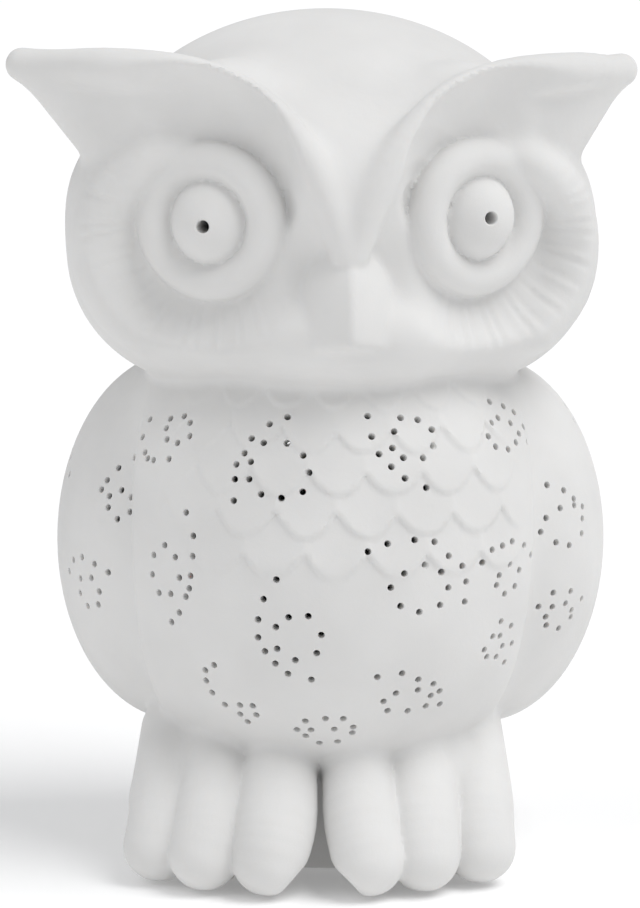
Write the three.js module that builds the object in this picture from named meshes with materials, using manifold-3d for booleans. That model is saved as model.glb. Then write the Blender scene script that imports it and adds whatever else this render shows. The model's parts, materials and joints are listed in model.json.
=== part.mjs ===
// A perforated bisque-porcelain owl lamp: one hollow slip-cast owl that stands on its feet, and inside it a
// lamp unit with a small screw-base bulb, gripped by three spring clips in the owl's bottom opening.
// Millimetres, +Z up, the owl faces -Y, and the origin is on the table under the middle of its overall box.
import * as THREE from "three";
import { mergeVertices } from "three/addons/utils/BufferGeometryUtils.js";
import Module from "manifold-3d";

const wasm = await Module();
wasm.setup();

// ---- Driving dimensions ----
const owlHeight = 275;
const wall = 4; // fired porcelain
const gap = 0.3; // between pieces that touch
const underside = 1; // the porcelain's feet, held off the table by felt pads
const headTurn = THREE.MathUtils.degToRad(4); // the owl looks a little to its left
const headShift = -1.5;
const owlX = 2.75; // centres the reach of the two horns, one longer than the other, on the origin
const faceSplay = THREE.MathUtils.degToRad(28); // each eye looks outward by this
const feetCentre = -3; // the feet stand this far to one side of the body
const lampY = 11; // the lamp unit's upright axis is at x = owlX, y = lampY
const mouthRadius = 31; // the bottom opening that the lamp unit is pushed into
const webBottom = 10; // the porcelain floor around that opening
const webTop = 15.5;
const collarTop = 26;
const plateRadius = 35.5;
const plateThickness = 1.2;
const nippleRadius = 5; // M10 x 1 hollow thread
const holderRadius = 14;
const holderWall = 1.8;
const screwRadius = 6.9; // over the thread of a 14 mm screw base
const threadPitch = 2.822; // nine turns an inch
const bulbRadius = 22.5;
const bulbLength = 78;

// Heights that follow from them.
const plateTop = webBottom - gap;
const plateBottom = plateTop - plateThickness;
const capBottom = plateTop + gap;
const capTop = capBottom + 18;
const skirtBottom = capTop + gap;
const skirtTop = skirtBottom + 32;
const insertBottom = capBottom + 11;
const insertTop = insertBottom + 14;
const socketFloor = insertTop + gap;
const bulbBottom = socketFloor + 2.4;
const bulbTop = bulbBottom + bulbLength;
const globeCentre = bulbTop - bulbRadius;
const screwTop = bulbBottom + 21;

// ---- Solids from three.js geometry ----
function solidOf(geometry) {
  const bare = new THREE.BufferGeometry();
  bare.setAttribute("position", geometry.getAttribute("position"));
  bare.setIndex(geometry.getIndex());
  const merged = mergeVertices(bare, 1e-4);
  const corners = merged.getIndex().array;
  const faces = [];
  for (let i = 0; i < corners.length; i += 3) {
    const [a, b, c] = corners.subarray(i, i + 3);
    if (a !== b && b !== c && c !== a) faces.push(a, b, c); // a turned piece's poles give empty faces
  }
  return new wasm.Manifold(
    new wasm.Mesh({
      numProp: 3,
      vertProperties: new Float32Array(merged.getAttribute("position").array),
      triVerts: new Uint32Array(faces),
    }),
  );
}

function geometryOf(solid) {
  const mesh = solid.getMesh();
  const geometry = new THREE.BufferGeometry();
  geometry.setAttribute("position", new THREE.BufferAttribute(new Float32Array(mesh.vertProperties), 3));
  geometry.setIndex(new THREE.BufferAttribute(new Uint32Array(mesh.triVerts), 1));
  geometry.computeVertexNormals();
  return geometry;
}

const joined = (solids) => solids.reduce((whole, solid) => whole.add(solid));

// An ellipsoid, with its own axes turned by a rotation matrix where one is given.
function ellipsoid(centre, radii, segments = 20, turn = new THREE.Matrix4()) {
  const ball = new THREE.SphereGeometry(1, segments, Math.round(segments * 0.6));
  ball.rotateX(Math.PI / 2);
  ball.scale(...radii);
  return solidOf(ball.applyMatrix4(turn).translate(...centre));
}

// A turned piece about +Z from [radius, height] pairs. The outline runs up the outside.
function turned(outline, segments = 24) {
  const points = outline.map(([radius, height]) => new THREE.Vector2(radius, height));
  return new THREE.LatheGeometry(points, segments).rotateX(Math.PI / 2);
}

const tube = (outer, inner, bottom, top, segments) =>
  turned([[inner, bottom], [outer, bottom], [outer, top], [inner, top], [inner, bottom]], segments);

// A cone with a ball at each end, from one point to another.
function roundCone(from, to, fromRadius, toRadius, segments = 12) {
  const start = new THREE.Vector3(...from);
  const along = new THREE.Vector3(...to).sub(start);
  const rings = Math.max(2, Math.round(segments / 5));
  const ballEnd = (radius, height, firstAngle) =>
    Array.from({ length: rings + 1 }, (_, i) => {
      const angle = firstAngle + (Math.PI / 2) * (i / rings);
      return [Math.max(0, radius * Math.cos(angle)), height + radius * Math.sin(angle)];
    });
  const outline = [...ballEnd(fromRadius, 0, -Math.PI / 2), ...ballEnd(toRadius, along.length(), 0)];
  outline[0][0] = 0;
  outline[outline.length - 1][0] = 0;
  const tilt = new THREE.Quaternion().setFromUnitVectors(new THREE.Vector3(0, 0, 1), along.normalize());
  return solidOf(turned(outline, segments).applyQuaternion(tilt).translate(...start));
}

// Round cones end to end through [x, y, z, radius] stations.
function roundChain(stations, segments = 10) {
  const links = [];
  for (let i = 1; i < stations.length; i++) {
    const [a, b] = [stations[i - 1], stations[i]];
    links.push(roundCone(a.slice(0, 3), b.slice(0, 3), a[3], b[3], segments));
  }
  return joined(links);
}

// An upright elliptical prism centred at x = 0.
function ellipticPrism(centreY, radiusX, radiusY, bottom, top, segments = 28) {
  const prism = new THREE.CylinderGeometry(1, 1, top - bottom, segments).rotateX(Math.PI / 2);
  prism.scale(radiusX, radiusY, 1);
  return solidOf(prism.translate(0, centreY, (top + bottom) / 2));
}

// ---- The owl's outer form ----
const sides = [-1, 1];

function bodyForm(inset, segments) {
  const shrunk = (radii) => radii.map((radius) => radius - inset);
  const parts = [
    ellipsoid([0, 2, 107.5], shrunk([78, 70, 82]), segments + 4),
    ellipsoid([0, -6, 86], shrunk([66, 62, 61]), segments), // belly
    ellipsoid([0, 11, 21.5], shrunk([50, 46, 60]), segments), // base
    ellipsoid([0, 56, 33.5], shrunk([34, 20, 44]), 14), // tail
  ];
  for (const side of sides) {
    parts.push(ellipsoid([side * 49, 14, 102.5], shrunk([40, 54, 61.5]), segments)); // wing
    parts.push(ellipsoid([feetCentre + side * 32, -30, 22], shrunk([29, 21, 29]), 12)); // leg
  }
  return joined(parts);
}

// Each toe, inner to outer: its root's and tip's distances from the middle line of the feet, and its tip's y.
const toes = {
  "-1": [[10.5, 17.5, -64], [30, 36, -58], [46.5, 51, -47]],
  1: [[12, 15.5, -64], [31, 32.5, -58], [50, 51, -47]],
};

function footToes(side) {
  const parts = [];
  for (const [rootOut, tipOut, tipY] of toes[side]) {
    const rootX = feetCentre + side * rootOut;
    const tipX = feetCentre + side * tipOut;
    const root = [rootX, tipY + 30, 40, 9.6];
    const knuckle = [(rootX + tipX) / 2, tipY + 12, 28, 10.3];
    parts.push(roundChain([root, knuckle, [tipX, tipY, 12, 10.9]], 10));
  }
  return joined(parts);
}

// An eye's own frame: the rotation that carries +Z to its outward normal, and points measured from its centre.
function eyeFrame(side) {
  const normal = new THREE.Vector3(side * Math.sin(faceSplay), -Math.cos(faceSplay), -0.05).normalize();
  const right = new THREE.Vector3(0, 0, 1).cross(normal).normalize();
  const up = normal.clone().cross(right);
  const turn = new THREE.Matrix4().makeBasis(right, up, normal);
  const centre = new THREE.Vector3(side * 42.7, -50, 211.4 + side * 0.9);
  const at = (outward, x = 0, z = 0) =>
    centre.clone().addScaledVector(normal, outward).add(new THREE.Vector3(x, 0, z)).toArray();
  return { turn, at };
}

const hornReach = { "-1": 99.8, 1: 93.5 };

function hornAndBrow(side) {
  const tip = side * hornReach[side];
  const crest = [
    [side * 2, -66, 202, 3.5],
    [side * 15, -65, 234, 5],
    [side * 48, -53, 255.5, 6],
    [side * 74, -41, 258, 5.5],
    [tip, -28, 258.5, 2.5],
  ];
  return joined([
    roundCone([side * 52, -21, 231], [tip, -27, 257], 25, 3, 12),
    roundCone([side * 40, -42, 242], [tip, -28, 257], 14, 3, 10),
    roundCone([0, -46, 221], [side * 34, -38, 239], 19, 20, 12),
    roundChain(crest, 8),
  ]);
}

function eyeSocket(side) {
  const { turn, at } = eyeFrame(side);
  const underBrow = [
    [...at(15, side * -20, 6), 16],
    [side * 50, -78, 231, 33],
    [side * 66, -80, 237, 35],
    [side * 104, -66, 245, 24],
  ];
  return ellipsoid(at(17, side * 0.5, -4), [40.5, 41, 25], 16, turn).add(roundChain(underBrow, 12));
}

function eye(side) {
  const { turn, at } = eyeFrame(side);
  const ring = new THREE.TorusGeometry(18.7, 5.8, 6, 20).applyMatrix4(turn).translate(...at(-3));
  const backing = ellipsoid(at(-9), [21.5, 21.5, 9], 12, turn);
  return joined([backing, solidOf(ring), ellipsoid(at(-5), [12.6, 13.4, 13.2], 14, turn)]);
}

function pupil(side) {
  const { turn, at } = eyeFrame(side);
  const drill = new THREE.CylinderGeometry(2.3, 2.3, 44, 8).rotateX(Math.PI / 2);
  return solidOf(drill.applyMatrix4(turn).translate(...at(-6)));
}

function beak() {
  const flank = (side) => ellipsoid([side * 18, -46, 177.5], [36.5, 35, 42], 14);
  const below = new THREE.BoxGeometry(80, 60, 40).rotateX(0.25).translate(0, -75, 149);
  return flank(-1).intersect(flank(1)).subtract(solidOf(below));
}

function skullForm(inset, segments) {
  const shrunk = (radii) => radii.map((radius) => radius - inset);
  return joined([
    ellipsoid([0, 4, owlHeight - 63.5], shrunk([78, 64, 63.5]), segments + 8), // crown
    ...sides.map((side) => ellipsoid([side * 39.5, -14, 199], shrunk([45, 46, 43]), segments)), // cheeks
  ]);
}

function headForm() {
  let form = joined([
    skullForm(0, 15),
    ellipsoid([0, -25, 176.5], [53, 43, 22], 14), // jaw
    ...sides.map((side) => ellipsoid([side * 48, -14, 214], [36, 38, 30], 14)), // temples
    ...sides.map(hornAndBrow),
  ]);
  for (const side of sides) form = form.subtract(eyeSocket(side)).add(eye(side));
  return form.add(beak());
}

// Carries a solid made about the head's own upright axis to where the turned head stands.
function onNeck(solid) {
  return solid.rotate([0, 0, THREE.MathUtils.radToDeg(headTurn)]).translate([headShift, 0, 0]);
}

// ---- The hollow inside and the openings ----
// The wall behind each eye socket follows the socket's tilt.
function socketBacking(side) {
  const { turn, at } = eyeFrame(side);
  const slab = new THREE.BoxGeometry(300, 300, 100).translate(0, 0, 50).applyMatrix4(turn);
  return solidOf(slab.translate(...at(-wall - 10)));
}

function hollow() {
  const body = joined([bodyForm(wall, 12), roundCone([0, 2, 147], [0, 2, 190], 52, 49, 12)]);
  const floor = ellipticPrism(lampY, 90, 90, -90, webTop, 8);
  const skull = skullForm(wall, 10).subtract(socketBacking(-1)).subtract(socketBacking(1));
  return body.subtract(floor).add(onNeck(skull));
}

function cuts() {
  const slab = new THREE.BoxGeometry(400, 400, 100).translate(0, 0, underside - 50);
  const cordSlot = new THREE.BoxGeometry(9, 60, 14).translate(0, 75, 1);
  return joined([
    solidOf(slab),
    ellipticPrism(lampY, 41.5, 38.5, -10, webBottom), // recess for the plate
    ellipticPrism(lampY, mouthRadius, mouthRadius, -10, collarTop + 10),
    roundCone([feetCentre, -90, -2], [feetCentre, -47, -2], 12, 12, 16), // arch between the feet
    solidOf(cordSlot),
  ]);
}

function porcelainShell() {
  const neck = roundCone([0, 3, 147], [0, 3, 177], 53, 52, 14);
  const form = joined([bodyForm(0, 15), neck, ...sides.map(footToes), onNeck(headForm())]);
  const collar = ellipticPrism(lampY, mouthRadius + wall, mouthRadius + wall, webBottom, collarTop);
  const shell = form.subtract(hollow()).add(collar).subtract(cuts());
  return shell.subtract(onNeck(pupil(-1))).subtract(onNeck(pupil(1)));
}

// ---- Materials ----
const finish = (color, roughness, metalness = 0) => new THREE.MeshStandardMaterial({ color, roughness, metalness });
const bisque = finish(0xe9e7e4, 0.85);
const felt = finish(0xd8d6d0, 0.95);
const zincSteel = finish(0xb9bcc0, 0.4, 1);
const springSteel = finish(0x8f9397, 0.35, 1);
const brass = finish(0xc9a55a, 0.35, 1);
const phenolic = finish(0xf0efe9, 0.5);
const steatite = finish(0xe6e1d6, 0.7);
const nickel = finish(0xc4c2bb, 0.3, 1);
const frostedGlass = finish(0xf3f2ee, 0.4);
const clearGlass = finish(0xe8efee, 0.1);
const vitrite = finish(0x15151a, 0.3);
const tungsten = finish(0x55565a, 0.5, 1);

// ---- The assembly ----
const owl = new THREE.Group();
owl.position.x = owlX;
const porcelain = new THREE.Group();
const lampUnit = new THREE.Group();
const bulb = new THREE.Group();
lampUnit.position.y = lampY;
bulb.position.y = lampY;
owl.add(porcelain, lampUnit, bulb);

function add(group, name, shape, material) {
  const mesh = new THREE.Mesh(shape.isBufferGeometry ? shape : geometryOf(shape), material);
  mesh.name = name;
  group.add(mesh);
  return mesh;
}

add(porcelain, "porcelain_shell", porcelainShell(), bisque);

// Felt pads under the feet and the tail.
const padPlaces = [
  [feetCentre - 32, -40],
  [feetCentre + 32, -40],
  [-16, 56.5],
  [16, 56.5],
];
padPlaces.forEach(([x, y], i) => {
  const pad = add(porcelain, `felt_pad_${i + 1}`, tube(5, 0, 0, underside - gap, 16), felt);
  pad.position.set(x, y, 0);
});

// The steel plate that closes the opening, with a hole for the nipple.
function holedDisc(radius, thickness, holeRadius) {
  const shape = new THREE.Shape().absarc(0, 0, radius, 0, Math.PI * 2);
  shape.holes.push(new THREE.Path().absarc(0, 0, holeRadius, 0, Math.PI * 2, true));
  return new THREE.ExtrudeGeometry(shape, { depth: thickness, bevelEnabled: false, curveSegments: 12 });
}

const disc = add(lampUnit, "mounting_plate", holedDisc(plateRadius, plateThickness, nippleRadius + gap), zincSteel);
disc.position.z = plateBottom;

const clipAngles = [90, 210, 330].map(THREE.MathUtils.degToRad);
const rivetDistance = 19.5;
const rivetRadius = 1.5;
const clipThickness = 0.6;

// A spring clip's side view: its foot lies on the plate, its leg rises to a knee that bears on the collar,
// and its lip leans back in. It is drawn as distance from the lamp's axis and height.
function clipOutline() {
  const knee = mouthRadius - 1; // the flat leaf's corners come nearest to the round collar
  const foot = plateTop + gap;
  const shape = new THREE.Shape();
  shape.moveTo(rivetDistance - 2.2, foot);
  shape.lineTo(26.6, foot);
  shape.lineTo(27.4, foot + 0.8);
  shape.lineTo(knee, foot + 11);
  shape.lineTo(26.6, foot + 17);
  shape.lineTo(26.6 - clipThickness, foot + 16.6);
  shape.lineTo(knee - clipThickness - 0.1, foot + 11);
  shape.lineTo(26.8, foot + 1.2);
  shape.lineTo(26.2, foot + clipThickness);
  shape.lineTo(rivetDistance - 2.2, foot + clipThickness);
  shape.closePath();
  return shape;
}

function springClip() {
  const width = 8;
  const leaf = new THREE.ExtrudeGeometry(clipOutline(), { depth: width, bevelEnabled: false });
  leaf.rotateX(Math.PI / 2).translate(0, width / 2, 0);
  const holeRadius = rivetRadius + gap;
  const hole = new THREE.CylinderGeometry(holeRadius, holeRadius, 6, 14).rotateX(Math.PI / 2);
  return solidOf(leaf).subtract(solidOf(hole.translate(rivetDistance, 0, plateTop + 1)));
}

// Each clip is held by a stud that is welded to the plate and peened over the clip's foot.
function clipRivet() {
  const head = 2.6;
  const low = plateTop + gap;
  const high = low + clipThickness + gap;
  return turned([[0, low], [rivetRadius, low], [rivetRadius, high], [head, high],
    [head - 0.6, high + 0.8], [0, high + 0.8]], 14);
}

clipAngles.forEach((angle, i) => {
  const clip = add(lampUnit, `spring_clip_${i + 1}`, springClip(), springSteel);
  clip.rotation.z = angle;
  const rivet = add(lampUnit, `clip_rivet_${i + 1}`, clipRivet(), zincSteel);
  rivet.position.set(rivetDistance * Math.cos(angle), rivetDistance * Math.sin(angle), 0);
});

// The hollow nipple clamps the lampholder to the plate.
const nutTop = plateBottom - gap - 1 - gap;
add(lampUnit, "threaded_nipple", tube(nippleRadius, 3.4, 3.2, insertBottom - 1.5, 16), zincSteel);
add(lampUnit, "lock_washer", tube(8.5, nippleRadius + gap, nutTop + gap, nutTop + gap + 1, 20), springSteel);

function hexNut(acrossFlats, holeRadius, bottom, top) {
  const shape = new THREE.Shape();
  const cornerRadius = acrossFlats / Math.sqrt(3);
  for (let i = 0; i < 6; i++) {
    const angle = (Math.PI / 3) * i;
    shape[i ? "lineTo" : "moveTo"](cornerRadius * Math.cos(angle), cornerRadius * Math.sin(angle));
  }
  shape.closePath();
  shape.holes.push(new THREE.Path().absarc(0, 0, holeRadius, 0, Math.PI * 2, true));
  const nut = new THREE.ExtrudeGeometry(shape, { depth: top - bottom, bevelEnabled: false, curveSegments: 16 });
  return nut.translate(0, 0, bottom);
}

add(lampUnit, "nipple_nut", hexNut(14, nippleRadius + gap, nutTop - 3, nutTop), zincSteel);
add(lampUnit, "cord_bushing", turned([[2.1, 1.9], [5.4, 1.9], [5.4, 2.9], [3.1, 2.9], [3.1, 8], [2.1, 8],
  [2.1, 1.9]], 16), phenolic);

// The lampholder: a cap screwed to the nipple, a skirt on the cap, and the live parts inside them.
function holderCap() {
  const inside = holderRadius - holderWall;
  return turned([[nippleRadius + gap, capBottom], [holderRadius - 3, capBottom], [holderRadius, capBottom + 4],
    [holderRadius, capTop], [inside, capTop], [inside, capBottom + 5], [inside - 2, capBottom + 2.4],
    [nippleRadius + gap, capBottom + 2.4], [nippleRadius + gap, capBottom]], 24);
}

function holderSkirt() {
  const inside = holderRadius - holderWall;
  return turned([[inside, skirtBottom], [holderRadius, skirtBottom], [holderRadius, skirtTop - 1.5],
    [holderRadius - 1.5, skirtTop], [9.2, skirtTop], [9.2, skirtTop - 2], [inside, skirtTop - 5],
    [inside, skirtBottom]], 24);
}

add(lampUnit, "lampholder_cap", holderCap(), phenolic);
add(lampUnit, "lampholder_skirt", holderSkirt(), phenolic);

function contactCarrier() {
  const radius = holderRadius - holderWall - gap;
  const body = solidOf(turned([[0, insertBottom], [radius, insertBottom], [radius, insertTop], [0, insertTop]], 24));
  const screwHoles = sides.map((side) => {
    const hole = new THREE.CylinderGeometry(1.9, 1.9, 9, 12).rotateX(Math.PI / 2);
    return solidOf(hole.translate(side * 7, 0, insertBottom + 3.5));
  });
  return body.subtract(joined(screwHoles));
}

add(lampUnit, "contact_carrier", contactCarrier(), steatite);
sides.forEach((side, i) => {
  const head = insertBottom - 0.8;
  const screw = turned([[0, head], [1.6, head], [1.6, insertBottom + 6], [0, insertBottom + 6]], 12);
  add(lampUnit, `terminal_screw_${i + 1}`, screw, brass).position.x = side * 7;
});
add(lampUnit, "screw_shell", tube(8.1, screwRadius + gap + 0.3, socketFloor, skirtTop - 6, 24), brass);
add(lampUnit, "centre_contact", turned([[0, socketFloor], [3.5, socketFloor], [3.5, socketFloor + 0.8],
  [1.8, bulbBottom - gap], [0, bulbBottom - gap]], 14), brass);

// ---- The bulb ----
add(bulb, "bulb_contact", turned([[0, bulbBottom], [2, bulbBottom], [3, bulbBottom + 0.8],
  [3, bulbBottom + 1.6], [0, bulbBottom + 1.6]], 14), nickel);

const insulatorTop = bulbBottom + 1.6 + gap + 3;
add(bulb, "bulb_insulator", turned([[0, insulatorTop - 3], [3.6, insulatorTop - 3], [6, insulatorTop],
  [0, insulatorTop]], 18), vitrite);

// The screw cap's outside is a row of rounded ridges one thread pitch apart.
function bulbCap() {
  const bottom = insulatorTop + gap;
  const ridges = Math.floor((screwTop - bottom - 1) / threadPitch);
  const outline = [[screwRadius - 1.4, bottom]];
  for (let i = 0; i < ridges; i++) {
    const start = bottom + 0.4 + i * threadPitch;
    outline.push([screwRadius - 0.7, start], [screwRadius, start + threadPitch * 0.5]);
  }
  outline.push([screwRadius - 0.7, screwTop - 0.4], [screwRadius - 0.7, screwTop], [screwRadius - 1.4, screwTop]);
  return turned([...outline, outline[0]], 14);
}

add(bulb, "bulb_cap", bulbCap(), nickel);

function bulbGlass() {
  const thickness = 0.8;
  const neckRadius = screwRadius - 1.4 - gap;
  const neckBottom = screwTop - 4;
  const flare = screwTop + 9;
  const globe = (radius) =>
    Array.from({ length: 9 }, (_, i) => {
      const angle = THREE.MathUtils.lerp(-0.75, Math.PI / 2, i / 8);
      return [Math.max(0, radius * Math.cos(angle)), globeCentre + radius * Math.sin(angle)];
    });
  const outside = [[neckRadius, neckBottom], [neckRadius, screwTop + gap], [10.5, flare], ...globe(bulbRadius)];
  const inside = [[neckRadius - thickness, neckBottom], [neckRadius - thickness, screwTop + 1],
    [10.5 - thickness, flare + 0.4], ...globe(bulbRadius - thickness)];
  return turned([...outside, ...inside.reverse(), outside[0]], 18);
}

add(bulb, "bulb_glass", bulbGlass(), frostedGlass);

const stemTop = globeCentre - 14;
const stemRadius = screwRadius - 1.4 - gap - 0.8 - gap;
add(bulb, "bulb_stem", turned([[0, screwTop - 4], [stemRadius, screwTop - 4], [stemRadius, screwTop + 2],
  [2.2, screwTop + 8], [2.2, stemTop], [0, stemTop]], 14), clearGlass);
sides.forEach((side, i) => {
  const wire = roundCone([side * 3.4, 0, stemTop - 6], [side * 7, 0, globeCentre + 1], 0.35, 0.35, 8);
  add(bulb, `lead_wire_${i + 1}`, wire, nickel);
});
add(bulb, "filament", roundCone([-6.2, 0, globeCentre + 2.1], [6.2, 0, globeCentre + 2.1], 0.4, 0.4, 8), tungsten);

export default owl;
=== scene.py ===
import json
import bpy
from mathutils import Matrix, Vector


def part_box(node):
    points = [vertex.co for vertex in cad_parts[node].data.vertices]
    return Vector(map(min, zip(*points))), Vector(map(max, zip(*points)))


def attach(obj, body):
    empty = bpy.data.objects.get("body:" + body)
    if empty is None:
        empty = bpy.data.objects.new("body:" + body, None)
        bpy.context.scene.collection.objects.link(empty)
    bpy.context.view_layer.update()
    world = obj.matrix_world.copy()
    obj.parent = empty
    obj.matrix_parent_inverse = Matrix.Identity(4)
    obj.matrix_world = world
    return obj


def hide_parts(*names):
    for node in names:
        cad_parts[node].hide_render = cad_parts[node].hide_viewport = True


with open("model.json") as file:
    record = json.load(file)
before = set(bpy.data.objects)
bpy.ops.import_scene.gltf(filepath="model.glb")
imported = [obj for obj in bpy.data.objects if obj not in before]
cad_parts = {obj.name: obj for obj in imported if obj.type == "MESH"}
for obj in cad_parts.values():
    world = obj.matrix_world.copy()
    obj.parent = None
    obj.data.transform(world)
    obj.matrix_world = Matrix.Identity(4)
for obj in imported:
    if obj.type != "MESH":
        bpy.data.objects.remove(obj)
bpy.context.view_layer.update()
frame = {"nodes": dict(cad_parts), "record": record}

from concurrent.futures import ThreadPoolExecutor
from math import cos, pi, radians, sin, tau

import bpy
import numpy as np
from mathutils import Matrix, Vector

# ---------------------------------------------------------------- sizes
# The owl's form is worked in millimetres in its own axes: it faces -Y, +Z is up and x = 0 is its
# middle.
MM = 0.001
WALL = 4.0
OWL_HEIGHT = 275.0
UNDERSIDE = 1.0  # the porcelain stands on felt pads
HEAD_TURN = radians(4)
HEAD_SHIFT = -1.5
FACE_SPLAY = radians(28)
FEET_CENTRE = -3.0
LAMP_Y = 11.0
MOUTH_RADIUS = 31.0
RECESS_RADII = (41.5, 38.5)
WEB_BOTTOM = 10.0  # the floor round the mouth
WEB_TOP = 15.5
COLLAR_TOP = 26.0
CORD_SLOT_HALF_WIDTH = 4.5
CORD_SLOT_TOP = 8
CORD_SLOT_START = 45
HOLE_RADIUS = 1.05
PUPIL_RADIUS = 2.0
VOXEL = 1.1
HOLLOW_VOXEL = 3.0

plate_low, plate_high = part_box("mounting_plate")
LAMP_AXIS = (plate_low + plate_high) / 2
LAMP_AXIS.z = 0
OWL_ORIGIN = LAMP_AXIS - Vector((0, LAMP_Y * MM, 0))


# ---------------------------------------------------------------- camera, floor and lights
def add(name, data):
    made = bpy.data.objects.new(name, data)
    bpy.context.scene.collection.objects.link(made)
    return made


def set_inputs(node, **values):
    for key, value in values.items():
        node.inputs[key.replace("_", " ")].default_value = value


def heading(azimuth, elevation):
    """The way out to an azimuth (0 is the front, positive to +X) and an elevation."""
    return Vector((sin(azimuth) * cos(elevation), -cos(azimuth) * cos(elevation), sin(elevation)))


def make_camera():
    """The camera stands in front and a little above, rolled, and aims just under the middle."""
    azimuth, elevation, roll = radians(-2), radians(8), radians(0.8)
    distance, middle_height, aim_left, aim_below = 1.2, 0.140, 0.0032, 0.0088
    middle = OWL_ORIGIN + Vector((0, 0, middle_height))
    back = heading(azimuth, elevation)
    right = Vector((cos(azimuth), sin(azimuth), 0))
    up = back.cross(right)
    rolled_right = right * cos(roll) + up * sin(roll)
    rolled_up = up * cos(roll) - right * sin(roll)
    data = bpy.data.cameras.new("camera")
    data.lens = 146.4
    data.sensor_width = 36
    camera = add("camera", data)
    place = middle + back * distance
    aim = middle - rolled_right * aim_left - rolled_up * aim_below
    toward = (place - aim).normalized()
    side = rolled_up.cross(toward).normalized()
    axes = Matrix((side, toward.cross(side), toward)).transposed()
    camera.matrix_world = Matrix.Translation(place) @ axes.to_4x4()
    bpy.context.scene.camera = camera


def add_soft_light(name, azimuth, elevation, spread, strength):
    """A wide, even light from an azimuth and an elevation, spread over a cone, all in degrees."""
    data = bpy.data.lights.new(name, "SUN")
    data.angle = radians(spread)
    data.energy = strength
    light = add(name, data)
    source = heading(radians(azimuth), radians(elevation))
    light.rotation_mode = "QUATERNION"
    light.rotation_quaternion = (-source).to_track_quat("-Z", "Y")


def make_studio():
    """A plain pale floor, an even sky and two soft lights."""
    mesh = bpy.data.meshes.new("floor")
    reach = 30.0
    corners = [(-reach, -reach, 0), (reach, -reach, 0), (reach, reach, 0), (-reach, reach, 0)]
    mesh.from_pydata(corners, [], [(0, 1, 2, 3)])
    floor = add("floor", mesh)
    table = plain_material("light_table", (0.85, 0.85, 0.85), 0.9)
    shader = table.node_tree.nodes["Principled BSDF"]
    set_inputs(shader, Emission_Color=(1, 1, 1, 1), Emission_Strength=0.16)
    mesh.materials.append(table)
    world = bpy.data.worlds.new("studio")
    world.use_nodes = True
    background = world.node_tree.nodes["Background"]
    set_inputs(background, Color=(0.97, 0.98, 1.0, 1), Strength=0.5)
    bpy.context.scene.world = world
    bpy.context.scene.view_settings.view_transform = "Standard"
    add_soft_light("key", 62, 58, 40, 1.75)
    add_soft_light("fill", -68, 40, 60, 0.4)


# ---------------------------------------------------------------- distance functions
# Each takes points p (... x 3) and gives their distances to a shape, negative inside it.
def vec(*values):
    return np.array(values, np.float32)


def smooth_min(a, b, reach):
    blend = np.maximum(reach - np.abs(a - b), 0) / reach
    return np.minimum(a, b) - blend * blend * (reach * 0.25)


def smooth_max(a, b, reach):
    return -smooth_min(-a, -b, reach)


def unit(way):
    return way / np.linalg.norm(way)


def directions(path):
    """The unit vector along a path at each of its points."""
    along = np.gradient(path, axis=0)
    return along / np.linalg.norm(along, axis=1)[:, None]


def axes_facing(normal):
    """Rows are the right, up and outward axes of something that faces along normal."""
    outward = unit(normal)
    right = unit(np.cross((0, 0, 1), outward))
    return np.stack([right, np.cross(outward, right), outward])


def ellipsoid(p, centre, radii, axes=None):
    q = p - vec(*centre)
    if axes is not None:
        q = q @ axes.T.astype(np.float32)
    radii = vec(*radii)
    scaled = np.linalg.norm(q / radii, axis=-1)
    return scaled * (scaled - 1) / np.maximum(np.linalg.norm(q / (radii * radii), axis=-1), 1e-6)


def round_cone(p, start, end, start_radius, end_radius):
    along = vec(*end) - vec(*start)
    q = p - vec(*start)
    t = np.clip((q @ along) / float(along @ along), 0, 1)
    radius = start_radius + (end_radius - start_radius) * t
    return np.linalg.norm(q - t[..., None] * along, axis=-1) - radius


def chain(p, stations, reach=0.0):
    """Round cones end to end through (x, y, z, radius) stations."""
    whole = None
    for a, b in zip(stations, stations[1:]):
        cone = round_cone(p, a[:3], b[:3], a[3], b[3])
        if whole is None:
            whole = cone
        else:
            whole = smooth_min(whole, cone, reach) if reach else np.minimum(whole, cone)
    return whole


def ring(p, centre, axes, radius, half_width, half_height):
    q = (p - vec(*centre)) @ axes.T.astype(np.float32)
    out = np.hypot(q[..., 0], q[..., 1]) - radius
    scaled = np.hypot(out / half_width, q[..., 2] / half_height)
    steep = np.hypot(out / half_width**2, q[..., 2] / half_height**2)
    return scaled * (scaled - 1) / np.maximum(steep, 1e-6)


def upright_cylinder(p, centre_y, radius_x, radius_y):
    x, y = p[..., 0], p[..., 1] - centre_y
    scaled = np.hypot(x / radius_x, y / radius_y)
    return scaled * (scaled - 1) / np.maximum(np.hypot(x / radius_x**2, y / radius_y**2), 1e-6)


def smooth_path(points, steps):
    """A Catmull-Rom curve through points, with steps stations to each stretch."""
    ends = np.array(points, float)
    ends = np.vstack([2 * ends[0] - ends[1], ends, 2 * ends[-1] - ends[-2]])
    path = []
    for a, b, c, d in zip(ends, ends[1:], ends[2:], ends[3:]):
        for t in np.arange(steps) / steps:
            square = (2 * a - 5 * b + 4 * c - d) * t**2
            cube = (3 * b - a - 3 * c + d) * t**3
            path.append(0.5 * (2 * b + (c - a) * t + square + cube))
    path.append(ends[-2])
    return path


def fade(x, low, high):
    """0 below low, 1 above high, and smooth between."""
    t = np.clip((x - low) / (high - low), 0, 1)
    return t * t * (3 - 2 * t)


# ---------------------------------------------------------------- the owl's form
SIDES = (-1, 1)
HORN_REACH = {-1: 99.0, 1: 89.5}
BODY_RADIUS = 74
FEATHER_WIDTH = 17.5
FEATHER_HEIGHT = 12.7
FEATHER_RELIEF = 1.35
LOWEST_FEATHERS = 96
FOLD_DEPTH = 2.5
STRIATION_DEPTH = 0.17

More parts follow.
